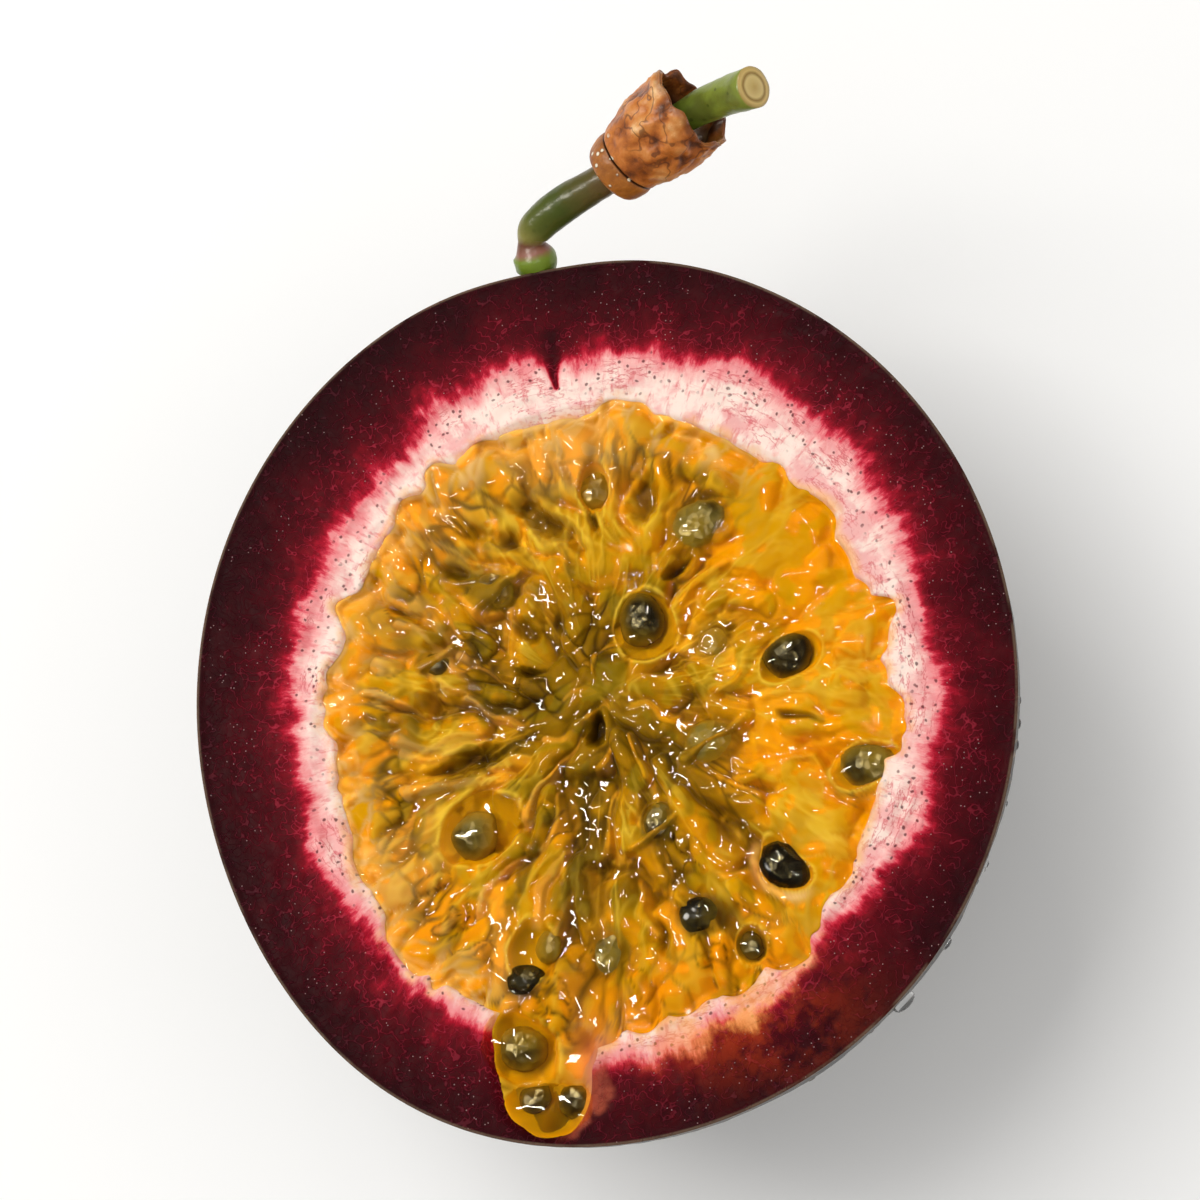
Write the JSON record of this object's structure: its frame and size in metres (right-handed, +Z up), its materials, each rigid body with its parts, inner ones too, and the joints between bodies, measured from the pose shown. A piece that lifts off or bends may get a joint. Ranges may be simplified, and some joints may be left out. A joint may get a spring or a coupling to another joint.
{
  "type": "passion fruit half",
  "caption": "Half of a purple passion fruit cut lengthwise, pulp and seeds showing, with its stalk and dried flower cup.",
  "frame": {"origin": "middle of the small flat spot that the round underside rests on", "axes": "+Z up out of the cut face, +Y along the fruit towards its stalk"},
  "size_m": [0.0556, 0.0695, 0.038],
  "materials": {
    "shell": "dark waxy skin over wet maroon flesh",
    "pith": "moist white to pink pith",
    "pulp": "wet golden juice sacs",
    "seed": "dark wet seed",
    "stalk": "green stalk, satin",
    "calyx": "dried brown flower cup, papery",
    "water": "clear water drops"
  },
  "bodies": {
    "root": {"shell": "shell", "pith": "pith", "pulp": "pulp", "stalk": "stalk", "calyx": "calyx"}
  },
  "joints": []
}
